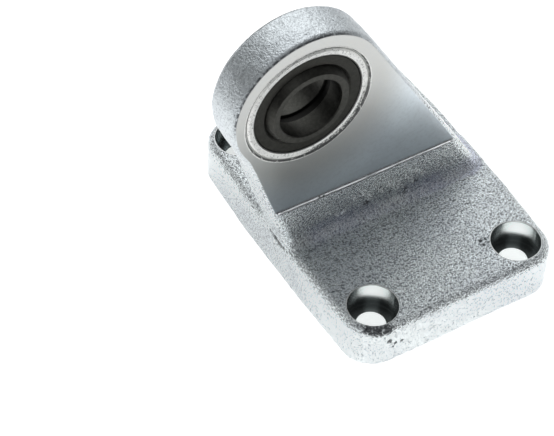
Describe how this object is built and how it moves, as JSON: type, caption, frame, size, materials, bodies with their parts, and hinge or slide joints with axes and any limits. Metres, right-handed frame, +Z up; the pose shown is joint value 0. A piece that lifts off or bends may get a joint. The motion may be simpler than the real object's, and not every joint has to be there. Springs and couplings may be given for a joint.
{
  "type": "cylinder bearing block",
  "caption": "Right-angle cylinder bearing block: a cast plate with counterbored screw holes and an upright web whose offset eye holds a spherical plain bearing.",
  "frame": {"origin": "centre of the four screw holes, on the plate's mounting face", "axes": "+Z up from the mounting face, Y along the bearing's axis, the eye leans out towards -X"},
  "size_m": [0.0907, 0.096, 0.0965],
  "materials": {
    "zinc_plated_casting": "bright zinc plating over a grained casting, with milled faces",
    "phosphated_steel": "dark phosphated bearing steel",
    "phosphated_ball_steel": "dark phosphated bearing steel, ground ball"
  },
  "bodies": {
    "housing": {"bracket": "zinc_plated_casting", "outer_ring": "phosphated_steel"},
    "ball": {"inner_ring": "phosphated_ball_steel"}
  },
  "joints": [
    {"name": "ball_spin", "type": "hinge", "parent": "housing", "child": "ball", "pos_m": [-0.03, 0, 0.071], "axis": [0, 1, 0], "continuous": true}
  ]
}
